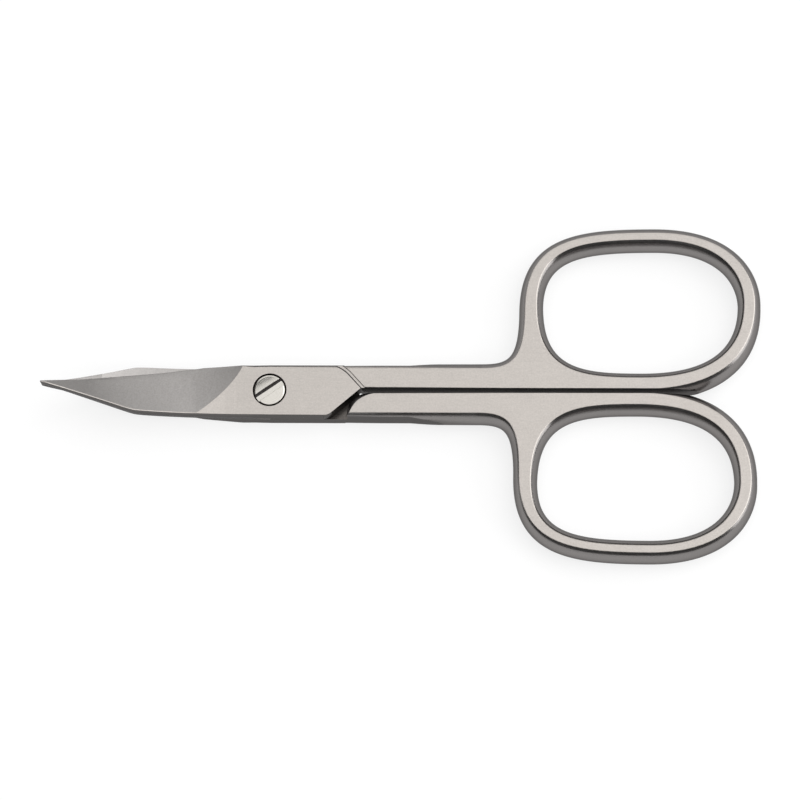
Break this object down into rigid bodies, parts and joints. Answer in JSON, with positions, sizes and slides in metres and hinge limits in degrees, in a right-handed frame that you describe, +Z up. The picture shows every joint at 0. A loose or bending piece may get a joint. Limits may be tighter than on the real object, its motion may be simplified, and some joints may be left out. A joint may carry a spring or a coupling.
{
  "type": "nail scissors",
  "caption": "Nail scissors: short upswept pointed blades, flat shanks and oval finger rings, opening on a slotted pivot screw.",
  "frame": {"origin": "on the pivot screw's axis, at the underside that the closed scissors lie on", "axes": "+X from the screw towards the finger rings, +Y towards the front half's ring, +Z up along the screw towards its slotted head"},
  "size_m": [0.0897, 0.0432, 0.008],
  "materials": {
    "satin_steel": "satin, fine cross grain",
    "screw_steel": "ground, semi-bright"
  },
  "bodies": {
    "back": {"back_half": "satin_steel", "pivot_screw": "screw_steel"},
    "front": {"front_half": "satin_steel"}
  },
  "joints": [
    {"name": "blade_pivot", "type": "hinge", "parent": "back", "child": "front", "pos_m": [0, 0, 0.0021], "axis": [0, 0, 1], "range_deg": [-0.4, 60]}
  ]
}
